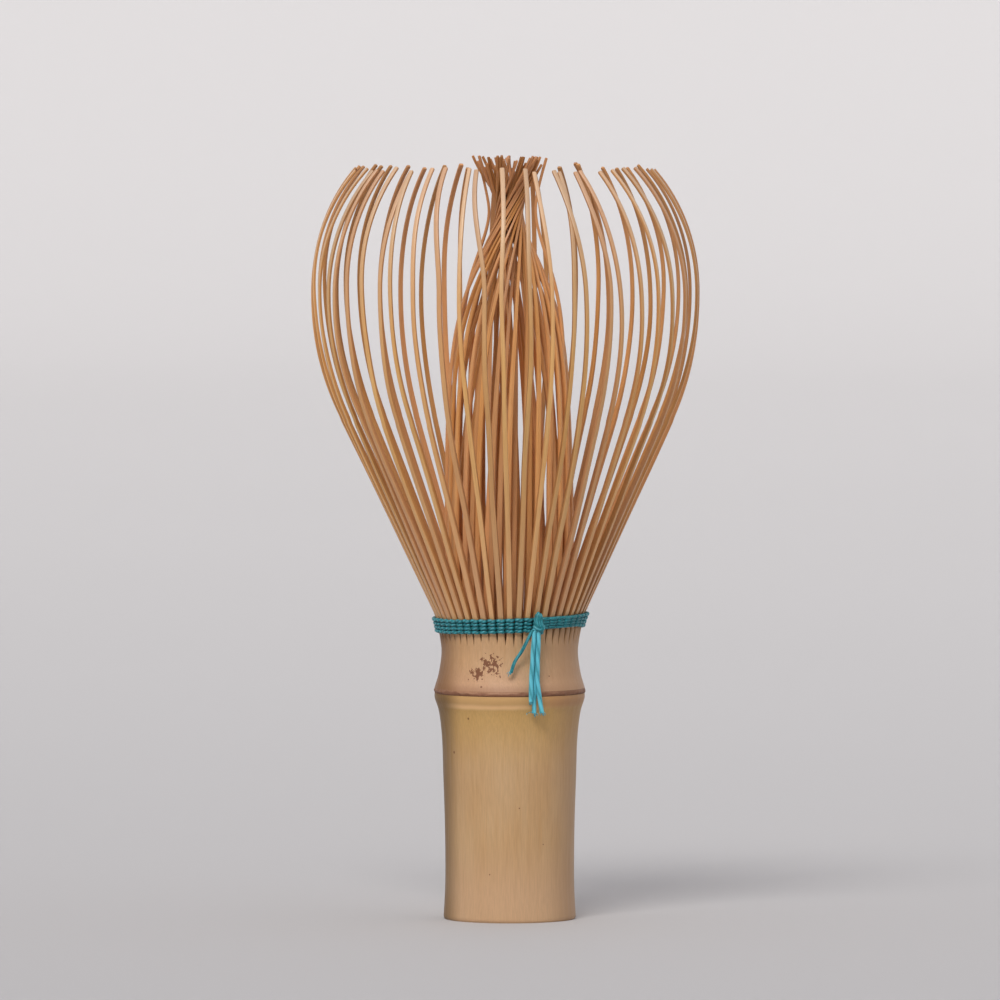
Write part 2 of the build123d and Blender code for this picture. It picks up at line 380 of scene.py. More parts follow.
class Bamboo(Shading):
    """Split or whole bamboo: long fibres, slow blotches, a colour that drifts with height, and a tone of
    its own for each strip.

    heights is (low, high, reach), and ends holds the (colour, share) mixed in at low and at high.
    """

    def __init__(self, name, pale, deep, streak, heights, ends,
                 fibre=3.0, roughness=0.42, tone=0.35, relief=0.25, gloss=0.35):
        super().__init__(name, Roughness=roughness, Specular_IOR_Level=gloss)
        self.roughness = roughness
        self.relief = relief
        self.grain = self.attribute("grain")
        self.across, self.height, _ = self.node("SeparateXYZ", {0: self.grain}).outputs
        self.fibres = self.noise(self.grain, fibre, 3, (1, 0.022, 1), 0.6)
        self.fine = self.noise(self.grain, fibre * 4, 2, (1, 0.03, 1), 0.6)
        blotch = self.noise(self.grain, 0.16, 2, (1, 0.35, 1))
        colour = self.mix(self.fit(blotch, 0.3, 0.7), pale, deep)
        colour = self.mix(self.calc("MULTIPLY", self.fit(self.fibres, 0.45, 0.75), 0.55), colour, streak)
        low, high, reach = heights
        near_low = self.fit(self.height, low, low + reach, ends[0][1], 0)
        near_high = self.fit(self.height, high - reach, high, 0, ends[1][1])
        colour = self.mix(near_low, colour, ends[0][0])
        colour = self.mix(near_high, colour, ends[1][0])
        own = self.attribute("tone")
        hue = self.calc("FRACT", self.calc("MULTIPLY", own, 7.3), 0.0)
        colour = self.mix(self.fit(hue, 0.35, 1, 0, 0.42), colour, srgb(218, 158, 118))
        shade = self.fit(own, 0, 1, 1 - tone, 1 + tone * 0.4)
        shade = self.calc("MULTIPLY", shade, self.fit(self.fine, 0.3, 0.7, 0.93, 1.05))
        self.colour = self.darken(colour, shade)

    def blend_in(self, share, colour):
        self.colour = self.mix(share, self.colour, colour)

    def paint_side_shade(self, left, right):
        """Painted shade on the sides, where the light falls off round the body: both sides are darkened
        towards a colour.  left and right are (where it starts, where it is full, share, colour), along X.
        """
        start, full, share, brown = left
        self.blend_in(self.fit(self.across, full, start, share, 0), brown)
        start, full, share, brown = right
        self.blend_in(self.fit(self.across, start, full, 0, share), brown)

    def flecks(self, crowds, colour, share):
        """Natural mottling: ragged specks that crowd round a few (centre, reach) and thin out from there."""
        crowd = 0.0
        for centre, reach in crowds:
            away = self.add("VectorMath", {0: self.grain, 1: centre}, operation="SUBTRACT")
            away = self.add("VectorMath", {0: away, 1: reach}, operation="DIVIDE")
            distance = self.add("VectorMath", {0: away}, output="Value", operation="LENGTH")
            crowd = self.calc("MAXIMUM", self.fit(distance, 0.35, 1.15, 1, 0), crowd)
        specks = self.noise(self.grain, 1.55, 3, (1, 0.8, 1), 0.62)
        level = self.calc("ADD", specks, self.calc("MULTIPLY", crowd, 0.23))
        mask = self.calc("MULTIPLY", self.fit(level, 0.68, 0.71), self.calc("GREATER_THAN", crowd, 0.01))
        self.blend_in(self.calc("MULTIPLY", mask, share), colour)

    def dots(self, outline, places, colour):
        """Small round marks on the front of a turned shape.  places holds (x, z, radius)."""
        heights, radii = zip(*outline)
        for x, z, size in places:
            y = -math.sqrt(np.interp(z, heights, radii) ** 2 - x**2)
            inputs = {0: self.grain, 1: (x, z, y)}
            distance = self.add("VectorMath", inputs, output="Value", operation="DISTANCE")
            self.blend_in(self.fit(distance, size * 0.4, size, 0.8, 0), colour)

    def finish(self):
        self.link(self.colour, "Base Color")
        self.link(self.fit(self.fibres, 0.3, 0.7, self.roughness - 0.06, self.roughness + 0.1), "Roughness")
        self.bump(self.calc("ADD", self.fibres, self.calc("MULTIPLY", self.fine, 0.4)), self.relief, 0.08)
        return self.material


CREAM = srgb(244, 191, 120)
HONEY = srgb(237, 177, 102)
TAN = srgb(212, 150, 80)
ORANGE = srgb(202, 140, 76)
UMBER = srgb(112, 66, 36)
PINKISH = srgb(214, 180, 151)
OLIVE = srgb(203, 165, 88)
PITH_BROWN = srgb(206, 172, 126)


def make_culm_skin():
    """Olive near the node, with a peach shoulder under it that carries a paler band of painted highlight; the
    shoulder's peach is partly its own colour and partly painted highlight, and painted shade darkens the
    sides.
    """
    skin = Bamboo(
        "culm_skin", srgb(205, 174, 130), srgb(198, 163, 116), srgb(188, 150, 98), (3, 33.2, 11),
        [(srgb(207, 173, 139), 0.6), (OLIVE, 0.75)], fibre=2.2, roughness=0.46, relief=0.12, tone=0,
    )
    # The shoulder's peach: partly the culm's own colour, partly painted highlight on the bulge under the
    # node.
    shoulder = skin.mix(skin.fit(skin.across, 1, 8), srgb(208, 164, 110), srgb(200, 146, 96))
    skin.blend_in(skin.fit(skin.height, 33.0, 33.8, 0, 0.8), shoulder)
    # Painted highlight: a paler band across the shoulder, strongest on the left and in the middle.
    wavy = skin.calc("ADD", skin.height, skin.calc("MULTIPLY", skin.noise(skin.grain, 0.3, 1), 0.3))
    band = skin.calc("MULTIPLY", skin.fit(wavy, 33.0, 33.5), skin.fit(wavy, 33.6, 34.2, 1, 0))
    band = skin.calc("MULTIPLY", band, skin.fit(skin.across, 0, 7, 0.8, 0.1))
    skin.blend_in(band, srgb(242, 196, 142))
    # Painted shade on both sides.
    skin.paint_side_shade((-7.2, -10.4, 0.9, srgb(120, 88, 42)), (4.5, 10, 0.45, srgb(160, 126, 96)))
    marks = [(-6.4, 31.6, 0.24), (-8.6, 26.2, 0.3), (1.5, 17.8, 0.16), (-3.1, 7.5, 0.15), (5.2, 12.1, 0.14)]
    skin.dots(CULM_OUTLINE, marks, UMBER)
    return skin.finish()


def make_collar_skin():
    """Browner at its foot with painted shade, painted shade on its sides, and natural mottling on the front.
    """
    skin = Bamboo(
        "collar_skin", srgb(212, 176, 136), srgb(204, 164, 120), srgb(190, 146, 98), (36, 44.5, 5),
        [(srgb(208, 166, 134), 0.7), (srgb(210, 168, 118), 0.4)],
        fibre=2.2, roughness=0.46, relief=0.12, tone=0,
    )
    # Painted shade at the collar's foot, just above the node.
    skin.blend_in(skin.fit(skin.height, 35.9, 37.2, 0.6, 0), srgb(170, 126, 98))
    # Painted shade on both sides.
    skin.paint_side_shade((-7.0, -10.8, 0.9, srgb(136, 94, 54)), (4.0, 9.0, 0.7, srgb(180, 142, 108)))
    crowds = [((-2.8, 40.0, -10.3), (2.3, 2.2, 3.6)), ((-5.2, 38.7, -9.6), (1.8, 1.6, 3.6))]
    skin.flecks(crowds, srgb(122, 72, 48), 0.9)
    skin.dots(COLLAR_OUTLINE, [(-4.4, 36.6, 0.22), (6.1, 38.2, 0.16)], UMBER)
    return skin.finish()


def make_scar_skin():
    """Purple-brown, its own colour, and darkest at its lower edge with painted shadow under the lip; it melts
    into the collar's colour above, and painted shade darkens its sides.
    """
    skin = Bamboo(
        "node_scar", srgb(138, 92, 70), srgb(122, 80, 60), srgb(92, 56, 42), (35.1, 35.74, 0.3),
        [(srgb(106, 66, 50), 0.8), (srgb(176, 132, 102), 0.95)], fibre=1.4, roughness=0.55, relief=0.5,
    )
    skin.paint_side_shade((-8.0, -11.0, 0.5, srgb(110, 72, 50)), (2.0, 9.0, 0.6, srgb(122, 84, 62)))
    return skin.finish()


def make_thread_look():
    """Dyed thread.  Its tone paints light into the colour: under 1 it darkens it as painted shade between the
    plies and where the thread sinks or passes behind; over 1 it lightens it towards a painted highlight
    colour.
    """
    s = Shading("dyed_thread", Roughness=0.42, Sheen_Weight=0.3, Sheen_Roughness=0.4, Specular_IOR_Level=0.5)
    s.shader.inputs["Sheen Tint"].default_value = srgb(150, 220, 226)
    grain = s.attribute("grain")
    fibres = s.noise(grain, 5.0, 3, (1, 0.4, 1), 0.6)
    slow = s.noise(grain, 0.35, 1)
    colour = s.mix(s.fit(slow, 0.3, 0.7), srgb(36, 148, 156), srgb(24, 128, 136))
    colour = s.mix(s.fit(fibres, 0.35, 0.7), srgb(14, 98, 106), colour)
    tone = s.attribute("tone")
    # Painted highlight and painted shade: a tone over 1 mixes in a light turquoise, and the tone scales the
    # colour.
    colour = s.mix(s.fit(tone, 0.9, 1.4), colour, srgb(98, 190, 208))
    shade = s.add("Math", {0: tone, 1: 0.85, 2: 0.22}, operation="MULTIPLY_ADD")
    s.link(s.darken(colour, shade), "Base Color")
    s.bump(fibres, 0.35, 0.05)
    return s.material


culm_skin = make_culm_skin()
collar_skin = make_collar_skin()
scar_skin = make_scar_skin()
pith = Bamboo(
    "bamboo_pith", srgb(214, 184, 140), srgb(200, 164, 116), srgb(176, 132, 84), (0, 45, 20),
    [(PITH_BROWN, 0.4), (PITH_BROWN, 0.4)], fibre=2.6, roughness=0.7, relief=0.3,
).finish()
outer_skin = Bamboo(
    "outer_tine_skin", CREAM, HONEY, TAN, (46, 117, 34),
    [(srgb(234, 182, 130), 0.8), (PINKISH, 0.8)], fibre=3.2, roughness=0.36, tone=0.13, gloss=0.55,
).finish()
outer_flesh = Bamboo(
    "outer_tine_flesh", srgb(214, 156, 96), ORANGE, srgb(170, 112, 64), (46, 117, 30),
    [(srgb(198, 142, 92), 0.6), (srgb(200, 150, 104), 0.5)], fibre=3.6, roughness=0.5, tone=0.18,
).finish()
# Towards their tops the inner tines deepen to brown: partly their own colour, partly painted shade in the
# neck.
inner_bamboo = Bamboo(
    "inner_tine_skin", srgb(239, 179, 114), srgb(228, 161, 92), srgb(190, 124, 68), (46, 118, 34),
    [(srgb(224, 164, 112), 0.5), (srgb(168, 108, 56), 0.85)], fibre=3.6, roughness=0.42, tone=0.18,
).finish()
thread = make_thread_look()

# ---------------------------------------------------------------- culm, node and collar
COLUMNS = 8                     # faces across one root
RING_POINTS = 416
CULM_ROWS = 110
BORE_ROWS = 40
COLLAR_ROWS = 34                # below the slits; above them a row stands every SLIT_STEP
SLIT_STEP = 0.2

SKIN_SEED = 3.0                 # the culm and the collar share their unevenness
FIBRE_HEIGHT = 0.024
FIBRE_PACE = 14
UNROUNDNESS = 0.07
UNROUND_PACE = 1.1
EVEN_TOP = 1.5                  # length over which the culm's unevenness fades towards the ring
EVEN_FOOT = 2.0                 # the same for the collar
EDGE = 0.12                     # rounding of the bore's lower edge
CUT_END_BAND = 0.8              # width of the faces beside both edges of the cut end

WAVE_OUT, WAVE_UP = 0.04, 0.3           # how far the scar's lip waves slowly, outward and upward
RAGGED_OUT, RAGGED_UP = 0.09, 0.1       # the same for its fine raggedness
RAGGED_COLOUR = 0.26

SLIT_LOWEST = 42.75             # slits start from here to SLIT_SPREAD higher
SLIT_SPREAD = 1.0
SLIT_NARROWEST = 0.16           # half a slit's opening at the top, and what is added at random
SLIT_EXTRA = 0.08
ROOT_EDGE_SHARE = 0.3           # share of a root's half width that is rounded off
ROOT_ROUNDING = 0.09
ROOT_BULGE = 0.05


def skin_ripple(angle):
    """Fine vertical fibres and a slow unroundness."""
    fibres = round_noise(angle, FIBRE_PACE, SKIN_SEED) * FIBRE_HEIGHT
    return fibres + round_noise(angle, UNROUND_PACE, SKIN_SEED + 5) * UNROUNDNESS


def make_culm():
    """The handle: its skin and underside in one sheet, then the bore, the septum's seat and the top rim."""
    piece = Piece()
    angle = np.arange(TINES * COLUMNS) * 360 / (TINES * COLUMNS)
    outline = through(CULM_OUTLINE, CULM_ROWS)
    top_height, top_radius = CULM_OUTLINE[-1]
    base_radius = CULM_OUTLINE[0][1]
    fade = smooth_step((top_height - outline[:, 0]) / EVEN_TOP)[:, None]
    skin = around(outline[:, 1:] + skin_ripple(angle)[None] * fade, angle[None], outline[:, :1])
    bore_edge = (BORE_RADIUS + EDGE, 0.0)
    underside = [bore_edge, (BORE_RADIUS + CUT_END_BAND, 0.0), (base_radius - CUT_END_BAND, 0.0)]
    underside += [(base_radius - BASE_CHAMFER, 0.0), (base_radius - 0.06, 0.17)]
    bore = [(BORE_RADIUS, z) for z in np.linspace(EDGE, SEPTUM_FLOOR, BORE_ROWS)]
    seat = [(SEPTUM_RADIUS, SEPTUM_FLOOR), (SEPTUM_RADIUS, RING_LOW), (RING_SEAT_RADIUS, RING_LOW)]
    piece.grid(np.concatenate([turned(underside, angle), skin]))
    piece.grid(turned([bore_edge, bore[0]], angle), finish=INSIDE)
    piece.grid(turned(bore + seat, angle), finish=INSIDE)
    piece.grid(turned([seat[-1], (top_radius, RING_LOW)], angle), finish=INSIDE)
    return piece.make("handle_culm_skin", [culm_skin, pith], merge=0.002, sharp=40)


def make_ring():
    """The sheath scar: a thin ragged lip that melts into the collar above it."""
    piece = Piece()
    angle = np.arange(RING_POINTS) * 360 / RING_POINTS
    seat = COLLAR_OUTLINE[0][1]
    # How far out from the seat, how far up from the ring's foot, and the share of the raggedness.
    lip = [(-0.08, 0, 0), (-0.01, 0.06, 0.3), (0.06, 0.15, 1), (0.1, 0.26, 1), (0.09, 0.36, 1)]
    lip += [(0.05, 0.5, 0.7), (0.02, 0.65, 0.3)]
    section = [(RING_SEAT_RADIUS, RING_LOW, 0)]
    section += [(seat + out, RING_LOW + up, share) for out, up, share in lip]
    section += [(seat, RING_TOP, 0), (RING_SEAT_RADIUS, RING_TOP, 0), (RING_SEAT_RADIUS, RING_LOW, 0)]
    slow = round_noise(angle, 2.6, 4)
    rows = []
    for radius, height, share in section:
        ragged = round_noise(angle, 16, height * 3)
        radius = radius + share * (RAGGED_OUT * ragged + WAVE_OUT * slow)
        rows.append(around(radius, angle, height + share * (WAVE_UP * slow + RAGGED_UP * ragged)))
    rows = np.array(rows)
    grain = rows[..., [0, 2, 1]].copy()
    grain[..., 1] += RAGGED_COLOUR * round_noise(angle, 9, 8) + WAVE_UP * slow
    piece.grid(rows, grain)
    return piece.make("node_ring_lip", [scar_skin], merge=0.002, sharp=60)


def make_collar():
    """The uncut wall above the node.  Its slits open upwards into the roots of the outer tines."""
    piece = Piece()
    outline = through(COLLAR_OUTLINE, 200)
    below = np.linspace(RING_TOP, 42.4, COLLAR_ROWS)
    rows = np.concatenate([below, np.arange(42.6, ROOT_TOP + 0.01, SLIT_STEP)])
    radius = np.interp(rows, outline[:, 0], outline[:, 1])
    slit_start = [SLIT_LOWEST + SLIT_SPREAD * rng.random() ** 1.4 for _ in range(TINES)]
    slit_width = [SLIT_NARROWEST + SLIT_EXTRA * rng.random() for _ in range(TINES)]
    floor_row = int(np.argmin(abs(rows - CROWN_FLOOR)))
    steps = np.linspace(0, 1, COLUMNS + 1)
    from_middle = steps * 2 - 1

    def half_gap(index):
        """Half the opening of one slit at each row, in degrees."""
        i = index % TINES
        rise = np.clip((rows - slit_start[i]) / (ROOT_TOP - slit_start[i]), 0, 1)
        return np.degrees(slit_width[i] * rise**0.75 / radius)

    def first_open(gap):
        return int(np.argmax(gap > 0)) - 1

    floor_angles = []
    for k in range(TINES):
        left_gap, right_gap = half_gap(k), half_gap(k + 1)
        left = (k - 0.5) * PITCH + left_gap
        right = (k + 0.5) * PITCH - right_gap
        angle = left[:, None] + (right - left)[:, None] * steps[None]
        edge = np.clip(abs(from_middle) - (1 - ROOT_EDGE_SHARE), 0, None)[None] / ROOT_EDGE_SHARE
        opening = np.maximum(left_gap, right_gap)[:, None]
        round_off = ROOT_ROUNDING * edge**2 * np.clip(opening / 0.8, 0, 1)
        ripple = np.array([skin_ripple(a) for a in angle]) * fade_in(rows, RING_TOP, EVEN_FOOT)[:, None]
        crown = ROOT_BULGE * (1 - from_middle**2)[None] * fade_in(rows, 41.5, 2.5)[:, None]
        face = radius[:, None] + ripple - round_off + crown
        piece.grid(around(face, angle, rows[:, None]), closed=False)
        upper = slice(floor_row, None)
        piece.grid(around(ROOT_INSIDE, angle[upper], rows[upper, None]), closed=False, finish=INSIDE)
        rim = [around(r, angle[-1], rows[-1]) for r in (face[-1], ROOT_INSIDE)]
        piece.grid(np.stack(rim), closed=False, finish=INSIDE)
        for side, gap in ((0, left_gap), (-1, right_gap)):
            cut = slice(first_open(gap), None)
            wall = [around(r, angle[cut, side], rows[cut]) for r in (face[cut, side], ROOT_INSIDE)]
            piece.grid(np.stack(wall, 1), closed=False, finish=INSIDE)
        span = slice(first_open(right_gap), floor_row + 1)
        across_slit = (right[span], ((k + 0.5) * PITCH + right_gap)[span])
        back = [around(ROOT_INSIDE, a, rows[span]) for a in across_slit]
        piece.grid(np.stack(back, 1), closed=False, finish=INSIDE)
        floor_angles.append(angle[floor_row])
    floor_angles = np.concatenate(floor_angles)
    even_angles = np.concatenate([steps * PITCH + (k - 0.5) * PITCH for k in range(TINES)])
    floor = [(r, CROWN_FLOOR) for r in (ROOT_INSIDE, 9.3, INNER_ROOT_INSIDE)]
    inside = [(BORE_RADIUS, SLIT_FLOOR), (BORE_RADIUS, 40), (BORE_RADIUS, RING_LOW)]
    inside += [(RING_SEAT_RADIUS, RING_LOW), (RING_SEAT_RADIUS, RING_TOP), (radius[0], RING_TOP)]
    rings = np.concatenate([turned(floor, floor_angles), turned(inside, even_angles)])
    piece.grid(rings, finish=INSIDE)
    return piece.make("tine_collar_skin", [collar_skin, pith], merge=0.004, sharp=42)


# ---------------------------------------------------------------- tines
# Half a strip's section, from the middle of its outside to the middle of its inside: (across, inward).
HALF_SECTION = [(0.3, 0.0), (0.84, 0.035), (1.0, 0.2), (1.0, 0.8), (0.86, 0.98), (0.3, 1.0)]
SECTION = np.array(HALF_SECTION + [(-x, y) for x, y in reversed(HALF_SECTION)])
SKIN_SPANS = (0, 1, 10, 11)     # spans of the section that are the bamboo's own skin
OUTER_FINISH = [SKIN if i in SKIN_SPANS else INSIDE for i in range(len(SECTION))]
OUTER_BEND = (HINGE_HEIGHT - 0.6, HINGE_HEIGHT + 26)    # heights for a strip's joint, kept with each group but not applied: nothing bends the strips
INNER_BEND = (INNER_FOOT - 0.5, INNER_FOOT + 30)

# How strips grow unevenly: (amount, length it changes over, height where it starts, length it grows over).
OUTER_BOW = (0.45, 30, 50, 30)          # in and out
OUTER_SWAY = (0.22, 16, 50, 20)         # sideways
OUTER_ROLL = (9, 45, 52, 30)            # about their own line, in degrees
INNER_LOOSE = (52, 25)
INNER_BOW = (0.3, 26, *INNER_LOOSE)
INNER_SWAY = (1.2, 20, *INNER_LOOSE)    # in degrees
INNER_ROLL = (14, 30, *INNER_LOOSE)
OUTER_SPLAY = (-0.45, 0.25)             # limits of how far a strip stands in or out as a whole
OUTER_BLUNT = 0.86                      # a strip's share of its size at its very end
INNER_BLUNT = 0.8
TAPER_START = 45.6
FAN = 0.35                              # spread of the inner tips above the waist


def uneven(z, seed, amount, scale, start, reach):
    """A smooth random line, 0 up to start, that swings by about amount from start + reach on."""
    return amount * wander(z, seed, scale) * fade_in(z, start, reach)


def strip(piece, path, outward, width, thickness, outward_share, tone, roll, finish):
    """Adds one tapering bamboo strip.

    outward_share is how much of its thickness lies outside path; roll turns its section about its own line.
    """
    across = SECTION[None, :, 0] * width[:, None] / 2
    deep = (outward_share - SECTION[None, :, 1]) * thickness[:, None]
    turn = np.radians(roll)[:, None]
    middle = (outward_share - 0.5) * thickness[:, None]
    profile = np.stack([across * np.cos(turn) - (deep - middle) * np.sin(turn),
                        across * np.sin(turn) + (deep - middle) * np.cos(turn) + middle], -1)
    rings = sweep_rings(path, outward, profile)
    seed = rng.random() * 400
    height = np.broadcast_to(path[:, None, 2], across.shape)
    grain = np.stack([across + seed, height, deep + seed * 0.7], -1)
    piece.grid(rings, grain, tone, finish=finish, caps=True, tip_finish=int(np.max(finish)))


def tip_shrink(z, share):
    """1 along a strip and share at its very end, which blunts the edge there."""
    end = np.ones(len(z))
    end[-1] = share
    return end


def outer_tine(piece, index):
    number = index - FIRST_LEANING
    lean = LEANS[number] if 0 <= number < len(LEANS) else rng.gauss(0, 1.3)
    lean += rng.uniform(-0.25, 0.25)
    tip = OUTER_TIP - 0.35 + rng.uniform(-0.55, 0.35)
    z = np.concatenate([np.linspace(45.3, 49, 8), np.arange(50, tip - 0.6, 1.0), [tip - 0.12, tip]])
    rise = np.clip((z - LEAN_START) / (BELLY_HEIGHT - LEAN_START), 0, None)
    seed = rng.random() * 900
    radius = outer_face_radius(z) + uneven(z, seed, *OUTER_BOW)
    radius += rng.uniform(*OUTER_SPLAY) * fade_in(z, 60, 45)
    shift = math.radians(lean) * BELLY_RADIUS * rise**1.25 + uneven(z, seed + 3, *OUTER_SWAY)
    angle = index * PITCH + np.degrees(shift / radius)
    angle += TIP_LEANS.get(index, 0) * fade_in(z, BELLY_HEIGHT, OUTER_TIP - BELLY_HEIGHT)
    path = around(radius - 0.02, angle, z)
    path[:, 0] += CROWN_LEAN * rise
    end = tip_shrink(z, OUTER_BLUNT)
    cut = (1 + 0.06 * wander(z, seed + 9, 22)) * rng.uniform(0.9, 1.06)     # no two are cut to the same width
    width = taper(z, TAPER_START, OUTER_SLIM_HEIGHT, OUTER_WIDTH) * end * cut
    thickness = taper(z, TAPER_START, OUTER_SLIM_HEIGHT, OUTER_THICKNESS) * end
    roll = uneven(z, seed + 5, *OUTER_ROLL)
    strip(piece, path, around(1.0, angle, 0.0), width, thickness, 0, rng.random(), roll, OUTER_FINISH)


def inner_tine(piece, index):
    stray = STRAYS.get(index, 0)
    tip = INNER_TIP - 2.4 * rng.random() ** 1.6
    z = [np.linspace(43.5, 50, 8), np.arange(51.5, 88, 1.5), np.arange(88, tip - 0.4, 0.6), [tip - 0.1, tip]]
    z = np.concatenate(z)
    above_foot = np.maximum(z, INNER_FOOT)
    seed = rng.random() * 900
    layer = WAIST_RADII[LAYER_PATTERN[index % PER_GROUP]] * rng.uniform(0.94, 1.06)
    swing = rng.gauss(0, 1.2)
    radius = inner_middle_radius(above_foot, layer)
    radius += uneven(z, seed, *INNER_BOW) * smooth_step((108 - z) / 14)
    root = (index + 0.5) * PITCH
    turn = (twist(above_foot) - twist(INNER_FOOT)) * (STRAY_TURN if stray else 1)
    angle = root + turn + swing * fade_in(z, *INNER_LOOSE) + uneven(z, seed + 3, *INNER_SWAY)
    path = around(radius, angle, z) + stray * fade_in(z, 76, 26)[:, None] * around(1.0, root, 0.0)
    path[:, :2] += fade_in(z, 111, 7)[:, None] * np.array([rng.gauss(0, FAN), rng.gauss(0, FAN)])
    end = tip_shrink(z, INNER_BLUNT)
    width = taper(z, 74, 106, INNER_WIDTH) * end
    thickness = taper(z, INNER_FOOT, WAIST_HEIGHT, INNER_THICKNESS) * end
    roll = uneven(z, seed + 5, *INNER_ROLL)
    strip(piece, path, around(1.0, angle, 0.0), width, thickness, 0.5, rng.random(), roll, SKIN)


def make_tines():
    made = []
    for group in range(GROUPS):
        name = f"{group + 1:02d}"
        outer, inner = Piece(), Piece()
        for index in range(group * PER_GROUP, (group + 1) * PER_GROUP):
            outer_tine(outer, index)
            inner_tine(inner, index)
        piece = outer.make(f"outer_tines_{name}_strips", [outer_skin, outer_flesh])
        made.append((piece, f"outer_tines_{name}", f"outer_group_{name}", "outer_tine", OUTER_BEND))
        piece = inner.make(f"inner_tines_{name}_strips", [inner_bamboo])
        made.append((piece, f"inner_tines_{name}", "inner_basket", "inner_tine", INNER_BEND))
    for piece, node, body, slot, (low, high) in made:
        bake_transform(piece)
        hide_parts(node)


# ---------------------------------------------------------------- thread
PLY_TURN = 1.5                  # length in which the two plies turn once
AROUND = 12                     # points round a thread
WRAP_POINTS = 1040
COURSE_POINTS = 832
BAND_RISE = 0.4                 # half of how far the band climbs from left to right
SINK = 0.56                     # how far a wrap sinks between two tines
PUSH = 0.1                      # how far a tine pushes it out
FRAY_SPREAD = (0.22, 0.16, 0.1)
FRAY_FIBRES = 9


def thread_tube(piece, path, outward, radius=THREAD_RADIUS, closed=False,
                shade=1.0, ply_turn=PLY_TURN, relief=0.24):
    """Adds a two-ply thread along path.  shade, ply_turn and relief are numbers, or one for each point.
    relief is how deep the groove between the plies is, as a share of the radius; the groove also gets painted
    shade.  shade scales the painted light in the colour: under 1 painted shade, over 1 painted highlight."""
    length = np.concatenate([[0], np.cumsum(np.linalg.norm(np.diff(path, axis=0), axis=1))])
    relief = np.broadcast_to(relief, len(path))[:, None]
    phi = np.arange(AROUND) * 2 * math.pi / AROUND
    turn = np.cumsum(np.diff(length, prepend=0) * 2 * math.pi / ply_turn)
    if closed:      # a whole number of half turns, so that the plies meet where the loop closes
        turn *= round(turn[-1] / math.pi) * math.pi / turn[-1]
    lobe = np.abs(np.cos(phi[None] - turn[:, None]))
    rho = radius * (1 - relief + relief * lobe**0.7)
    profile = np.stack([rho * np.cos(phi)[None], rho * np.sin(phi)[None]], -1)
    # Painted shade in the groove between the plies, times shade.
    tone = (1 - 2.2 * relief * (1 - lobe)) * np.broadcast_to(shade, len(path))[:, None]
    rings = sweep_rings(path, outward, profile, closed)
    shape = (len(path), AROUND)
    grain = np.stack([np.broadcast_to(np.arange(AROUND) * radius * 0.5, shape) + rng.random() * 90,
                      np.broadcast_to(length[:, None], shape), np.zeros(shape)], -1)
    piece.grid(rings, grain, tone, caps=not closed)


def plain_share(angle):
    """1 where the thread lies smooth, to the right of the knot, and 0 elsewhere."""
    a = (angle + 180) % 360 - 180
    return smooth_step((a + 72) / 8) * smooth_step((-8 - a) / 20)


def band_tilt(angle):
    """The band climbs to the right, seen from the front."""
    return BAND_RISE * np.cos(np.radians(angle)) + 0.18 * plain_share(angle)


def make_wraps():
    """Turns of thread that stand on the outer tines and sink between them."""
    angle = np.linspace(0, 360, WRAP_POINTS + 1)
    plain = plain_share(angle)
    phase = (angle / PITCH) % 1
    over = smooth_step(np.abs(np.cos(np.pi * phase)) * 1.45 - 0.12)
    dip = SINK * (1 - over) * (1 - 0.75 * plain)
    # Painted highlight where a wrap rides over a tine and painted shade where it sinks between two; the
    # smooth part to the right of the knot stays even.
    shade = 1.1 * over**2
    shade = shade + (1.0 - shade) * plain
    for number, height in enumerate(WRAP_HEIGHTS):
        piece = Piece()
        z = WRAP_MIDDLE + (height - WRAP_MIDDLE) * (1 - 0.22 * plain) + band_tilt(angle)
        z = z + 0.05 * round_noise(angle, 3, 3.1 * number) - (1 - plain) * 0.04 * np.sin(2 * np.pi * phase)
        radius = outer_face_radius(z) + THREAD_RADIUS + 0.02 - dip + PUSH * over
        path = around(radius, angle, z)
        path[-1] = path[0]
        thread_tube(piece, path, around(1.0, angle, 0.0), radius=THREAD_RADIUS * 1.08, closed=True,
                    shade=shade, ply_turn=PLY_TURN + 7 * plain, relief=0.13 - 0.05 * plain)
        wrap = piece.make(f"thread_wrap_{number + 1}_strand", [thread], merge=0.003)
        place(wrap, f"thread_wrap_{number + 1}")


def make_inner_course():
    """The pass behind the outer tines, which bulges out between them."""
    piece = Piece()
    angle = np.linspace(0, 360, COURSE_POINTS + 1)
    between = 1 - np.abs(np.cos(np.pi * ((angle / PITCH) % 1)))
    radius = INNER_COURSE_RADIUS + 0.28 * between
    path = around(radius, angle, INNER_COURSE_HEIGHT + 0.5 * band_tilt(angle))
    path[-1] = path[0]
    # Painted shade where the course passes behind a tine.
    thread_tube(piece, path, around(1.0, angle, 0.0), closed=True, shade=0.4 + 0.5 * between)
    course = piece.make("thread_inner_course_strand", [thread], merge=0.003)
    place(course, "thread_inner_course")


def facing_front(path):
    return np.tile([0.0, -1.0, 0.0], (len(path), 1))


def fray(piece, end, direction):
    """Loose fibres at a cut end."""
    for _ in range(FRAY_FIBRES):
        spread = np.array([rng.gauss(0, share) for share in FRAY_SPREAD])
        root = end - direction * 0.25 + spread * 0.3
        tip = end + direction * rng.uniform(0.15, 0.6) + spread
        bend = (root + tip) / 2 + spread * 0.4
        path = through([root, bend, tip], 7)
        # A shade of 1.3 lightens the loose fibres towards the painted highlight colour.
        thread_tube(piece, path, facing_front(path), radius=0.05, shade=1.3)


